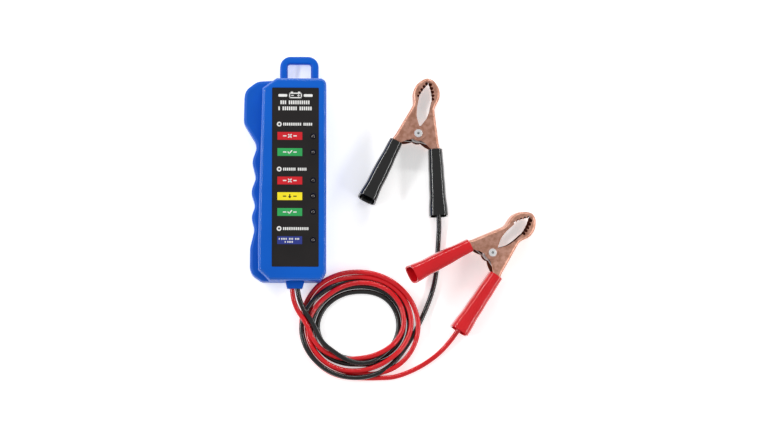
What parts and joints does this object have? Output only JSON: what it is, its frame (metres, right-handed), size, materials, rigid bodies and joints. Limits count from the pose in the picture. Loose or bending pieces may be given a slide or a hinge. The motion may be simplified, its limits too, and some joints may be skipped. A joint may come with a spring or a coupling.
{
  "type": "battery tester",
  "caption": "Hand-held battery and alternator tester with a row of indicator lights, a hang loop and two coiled leads ending in sprung clamps.",
  "frame": {"origin": "middle of the housing on its flat back, which lies on the table", "axes": "+Y from the leads towards the hang loop, +Z out of the face, +X across the face"},
  "size_m": [0.1647, 0.1824, 0.0222],
  "materials": {
    "housing_plastic": "fine moulded texture",
    "label_film": "printed film, satin",
    "led_lens": "dark clear resin",
    "red_pvc": "soft glossy sleeve and lead cover",
    "black_pvc": "soft glossy sleeve and lead cover",
    "copper_plate": "copper flash over stamped steel",
    "zinc_plate": "bright zinc",
    "screw_steel": "zinc-plated steel",
    "tinned_metal": "tinned wire and solder",
    "board_laminate": "green solder mask",
    "black_resin": "moulded epoxy",
    "resistor_coat": "lacquer",
    "diode_glass": "tinted glass",
    "can_sleeve": "shrink sleeve",
    "tie_nylon": "nylon"
  },
  "bodies": {
    "tester": {"front_shell": "housing_plastic", "back_shell": "housing_plastic", "face_label": "label_film", "lead_gland": "housing_plastic", "alternator_bad_led": "led_lens", "alternator_good_led": "led_lens", "battery_bad_led": "led_lens", "battery_low_led": "led_lens", "battery_good_led": "led_lens", "recommendation_led": "led_lens", "circuit_board": "board_laminate", "comparator_chip": "black_resin", "resistors": "resistor_coat", "reference_diode": "diode_glass", "polarity_diode": "black_resin", "filter_capacitor": "can_sleeve", "led_legs": "tinned_metal", "solder_joints": "tinned_metal", "board_screws": "screw_steel", "case_screws": "screw_steel", "lead_tie": "tie_nylon", "red_inner_lead": "red_pvc", "black_inner_lead": "black_pvc", "red_lead_start": "red_pvc", "black_lead_start": "black_pvc", "lead_coil": "black_pvc", "red_lead_end": "red_pvc", "black_lead_end": "black_pvc", "black_clamp_fixed_lever": "copper_plate", "black_clamp_rivet": "zinc_plate", "black_clamp_spring": "zinc_plate", "black_clamp_fixed_boot": "black_pvc", "black_clamp_crimp": "copper_plate", "red_clamp_fixed_lever": "copper_plate", "red_clamp_rivet": "zinc_plate", "red_clamp_spring": "zinc_plate", "red_clamp_fixed_boot": "red_pvc", "red_clamp_crimp": "copper_plate"},
    "black_clamp_jaw": {"black_clamp_moving_lever": "copper_plate", "black_clamp_moving_boot": "black_pvc"},
    "red_clamp_jaw": {"red_clamp_moving_lever": "copper_plate", "red_clamp_moving_boot": "red_pvc"}
  },
  "joints": [
    {"name": "black_clamp_hinge", "type": "hinge", "parent": "tester", "child": "black_clamp_jaw", "pos_m": [0.075, 0.022, 0.0067], "axis": [0, 0, 1], "range_deg": [0, 33], "stiffness_Nm_per_rad": 0.5, "springref_deg": -34.38, "deforming": ["black_clamp_spring"]},
    {"name": "red_clamp_hinge", "type": "hinge", "parent": "tester", "child": "red_clamp_jaw", "pos_m": [0.11594, -0.04485, 0.00835], "axis": [0.1149, -0.0755, 0.9905], "range_deg": [0, 33], "stiffness_Nm_per_rad": 0.5, "springref_deg": -34.38, "deforming": ["red_clamp_spring"]}
  ]
}
